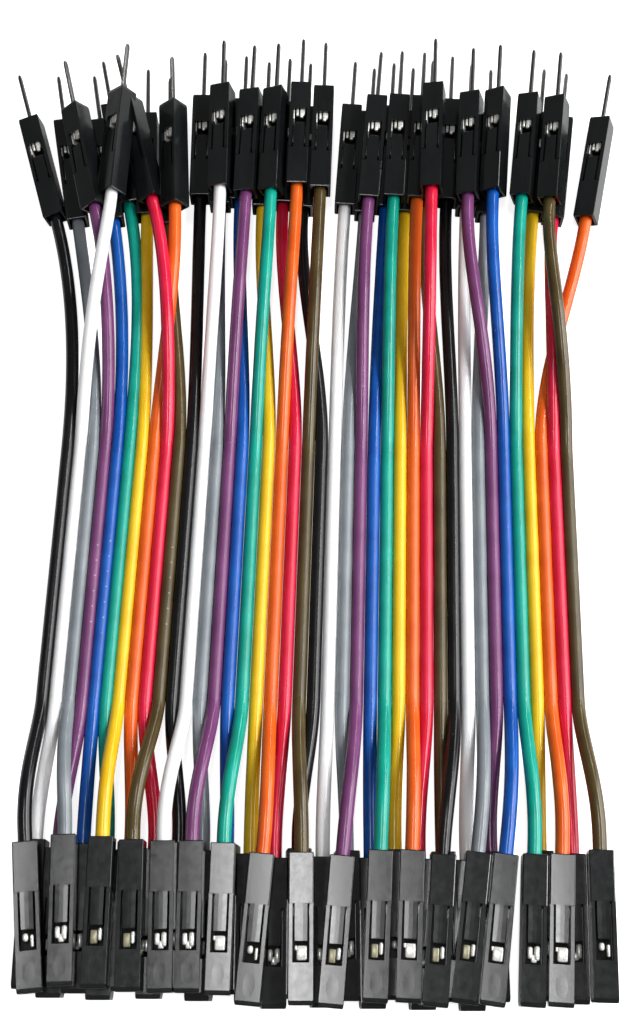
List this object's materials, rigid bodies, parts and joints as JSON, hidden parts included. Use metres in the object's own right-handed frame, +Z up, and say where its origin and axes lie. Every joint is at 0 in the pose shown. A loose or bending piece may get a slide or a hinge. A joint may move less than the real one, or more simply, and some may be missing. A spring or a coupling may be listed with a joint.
{
  "type": "breadboard jumper wire ribbon",
  "caption": "Flat rainbow ribbon of bonded jumper wires, split at both ends, with crimp housings holding male pins at one end and female sockets at the other.",
  "frame": {"origin": "middle of the footprint, on the surface that the ribbon lies on", "axes": "+Y along the ribbon towards the male pins, +X across it with the first black wire at -X, +Z up from the surface"},
  "size_m": [0.0722, 0.1104, 0.0076],
  "materials": {
    "housing_black": "satin",
    "wire_black": "semi-gloss",
    "wire_white": "semi-gloss",
    "wire_grey": "semi-gloss",
    "wire_purple": "semi-gloss",
    "wire_blue": "semi-gloss",
    "wire_green": "semi-gloss",
    "wire_yellow": "semi-gloss",
    "wire_orange": "semi-gloss",
    "wire_red": "semi-gloss",
    "wire_brown": "semi-gloss"
  },
  "bodies": {
    "root": {"pin_connector_01": "housing_black", "pin_connectors_02_09": "housing_black", "pin_connectors_03_04": "housing_black", "pin_connectors_08_10": "housing_black", "pin_connectors_11_15": "housing_black", "pin_connectors_16_21": "housing_black", "pin_connectors_22_35": "housing_black", "pin_connectors_36_40": "housing_black", "pin_connector_38": "housing_black", "socket_connectors_01_35": "housing_black", "socket_connectors_36_40": "housing_black", "wire_01_black": "wire_black", "wire_02_white": "wire_white", "wire_03_grey": "wire_grey", "wire_04_purple": "wire_purple", "wire_05_blue": "wire_blue", "wire_06_green": "wire_green", "wire_07_yellow": "wire_yellow", "wire_08_orange": "wire_orange", "wire_09_red": "wire_red", "wire_10_brown": "wire_brown", "wire_11_black": "wire_black", "wire_12_white": "wire_white", "wire_13_grey": "wire_grey", "wire_14_purple": "wire_purple", "wire_15_blue": "wire_blue", "wire_16_green": "wire_green", "wire_17_yellow": "wire_yellow", "wire_18_orange": "wire_orange", "wire_19_red": "wire_red", "wire_20_brown": "wire_brown", "wire_21_black": "wire_black", "wire_22_white": "wire_white", "wire_23_grey": "wire_grey", "wire_24_purple": "wire_purple", "wire_25_blue": "wire_blue", "wire_26_green": "wire_green", "wire_27_yellow": "wire_yellow", "wire_28_orange": "wire_orange", "wire_29_red": "wire_red", "wire_30_brown": "wire_brown", "wire_31_black": "wire_black", "wire_32_white": "wire_white", "wire_33_grey": "wire_grey", "wire_34_purple": "wire_purple", "wire_35_blue": "wire_blue", "wire_36_green": "wire_green", "wire_37_yellow": "wire_yellow", "wire_38_orange": "wire_orange", "wire_39_red": "wire_red", "wire_40_brown": "wire_brown"}
  },
  "joints": []
}
